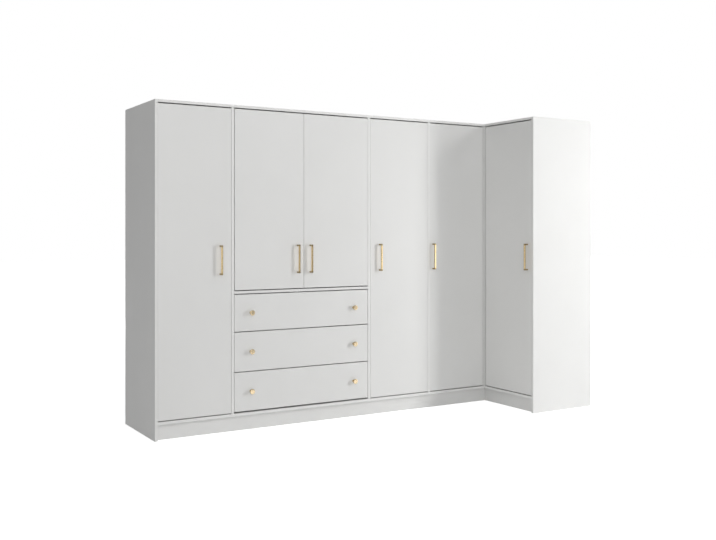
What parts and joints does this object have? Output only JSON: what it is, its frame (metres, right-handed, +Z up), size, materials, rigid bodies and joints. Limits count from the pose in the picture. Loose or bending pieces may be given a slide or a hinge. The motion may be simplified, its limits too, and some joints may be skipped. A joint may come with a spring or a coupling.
{
  "type": "corner wardrobe",
  "caption": "L-shaped white corner wardrobe with inset hinged doors, a drawer block under a pair of short doors, bar handles, round knobs, hat shelves and hanging rails.",
  "frame": {"origin": "on the floor, under the middle of the box that bounds the whole wardrobe", "axes": "+Z up; -Y is the way the long run's doors and drawers face; +X runs along the long run to the corner; the wing comes forward along -Y at the +X end and its door faces -X"},
  "size_m": [3.044, 1.03, 2],
  "materials": {
    "white_board": "white melamine-faced board, satin",
    "back_board": "white-faced fibreboard, matt",
    "gold_metal": "pale brushed gold",
    "steel": "zinc-plated and satin steel"
  },
  "bodies": {
    "cabinet": {"left_side_panel": "white_board", "left_divider": "white_board", "right_divider": "white_board", "corner_divider": "white_board", "corner_post": "white_board", "wing_end_panel": "white_board", "main_top_panel": "white_board", "wing_top_panel": "white_board", "main_bottom_panel": "white_board", "wing_bottom_panel": "white_board", "main_plinth": "white_board", "wing_plinth": "white_board", "main_back_panel": "back_board", "wing_back_panel": "back_board", "middle_shelf": "white_board", "left_hat_shelf": "white_board", "middle_fold_shelf": "white_board", "right_hat_shelf": "white_board", "corner_hat_shelf": "white_board", "left_hanging_rail": "steel", "right_hanging_rail": "steel", "corner_hanging_rail": "steel", "runner_set_left": "steel", "runner_set_right": "steel", "hinge_1_lower": "steel", "hinge_1_upper": "steel", "hinge_2_lower": "steel", "hinge_2_upper": "steel", "hinge_3_lower": "steel", "hinge_3_upper": "steel", "hinge_4_lower": "steel", "hinge_4_upper": "steel", "hinge_5_lower": "steel", "hinge_5_upper": "steel", "hinge_6_lower": "steel", "hinge_6_upper": "steel"},
    "left_door": {"door_1": "white_board", "handle_1": "gold_metal"},
    "middle_left_door": {"door_2": "white_board", "handle_2": "gold_metal"},
    "middle_right_door": {"door_3": "white_board", "handle_3": "gold_metal"},
    "right_door": {"door_4": "white_board", "handle_4": "gold_metal"},
    "corner_door": {"door_5": "white_board", "handle_5": "gold_metal"},
    "wing_door": {"door_6": "white_board", "handle_6": "gold_metal"},
    "lower_drawer": {"drawer_front_1": "white_board", "drawer_box_1": "white_board", "knob_1_left": "gold_metal", "knob_1_right": "gold_metal"},
    "centre_drawer": {"drawer_front_2": "white_board", "drawer_box_2": "white_board", "knob_2_left": "gold_metal", "knob_2_right": "gold_metal"},
    "upper_drawer": {"drawer_front_3": "white_board", "drawer_box_3": "white_board", "knob_3_left": "gold_metal", "knob_3_right": "gold_metal"}
  },
  "joints": [
    {"name": "left_door_swing", "type": "hinge", "parent": "cabinet", "child": "left_door", "pos_m": [-1.503, -0.028, 1.047], "axis": [0, 0, 1], "range_deg": [-110, 0]},
    {"name": "middle_left_door_swing", "type": "hinge", "parent": "cabinet", "child": "middle_left_door", "pos_m": [-1.008, -0.028, 1.422], "axis": [0, 0, 1], "range_deg": [-110, 0]},
    {"name": "middle_right_door_swing", "type": "hinge", "parent": "cabinet", "child": "middle_right_door", "pos_m": [-0.0322, -0.028, 1.422], "axis": [0, 0, 1], "range_deg": [0, 110]},
    {"name": "right_door_swing", "type": "hinge", "parent": "cabinet", "child": "right_door", "pos_m": [0.468, -0.028, 1.047], "axis": [0, 0, 1], "range_deg": [0, 110]},
    {"name": "corner_door_swing", "type": "hinge", "parent": "cabinet", "child": "corner_door", "pos_m": [0.964, -0.028, 1.047], "axis": [0, 0, 1], "range_deg": [0, 80]},
    {"name": "wing_door_swing", "type": "hinge", "parent": "cabinet", "child": "wing_door", "pos_m": [0.979, -0.041, 1.047], "axis": [0, 0, 1], "range_deg": [-80, 0]},
    {"name": "lower_drawer_slide", "type": "slide", "parent": "cabinet", "child": "lower_drawer", "axis": [0, -1, 0], "range_m": [0, 0.38]},
    {"name": "centre_drawer_slide", "type": "slide", "parent": "cabinet", "child": "centre_drawer", "axis": [0, -1, 0], "range_m": [0, 0.38]},
    {"name": "upper_drawer_slide", "type": "slide", "parent": "cabinet", "child": "upper_drawer", "axis": [0, -1, 0], "range_m": [0, 0.38]}
  ]
}
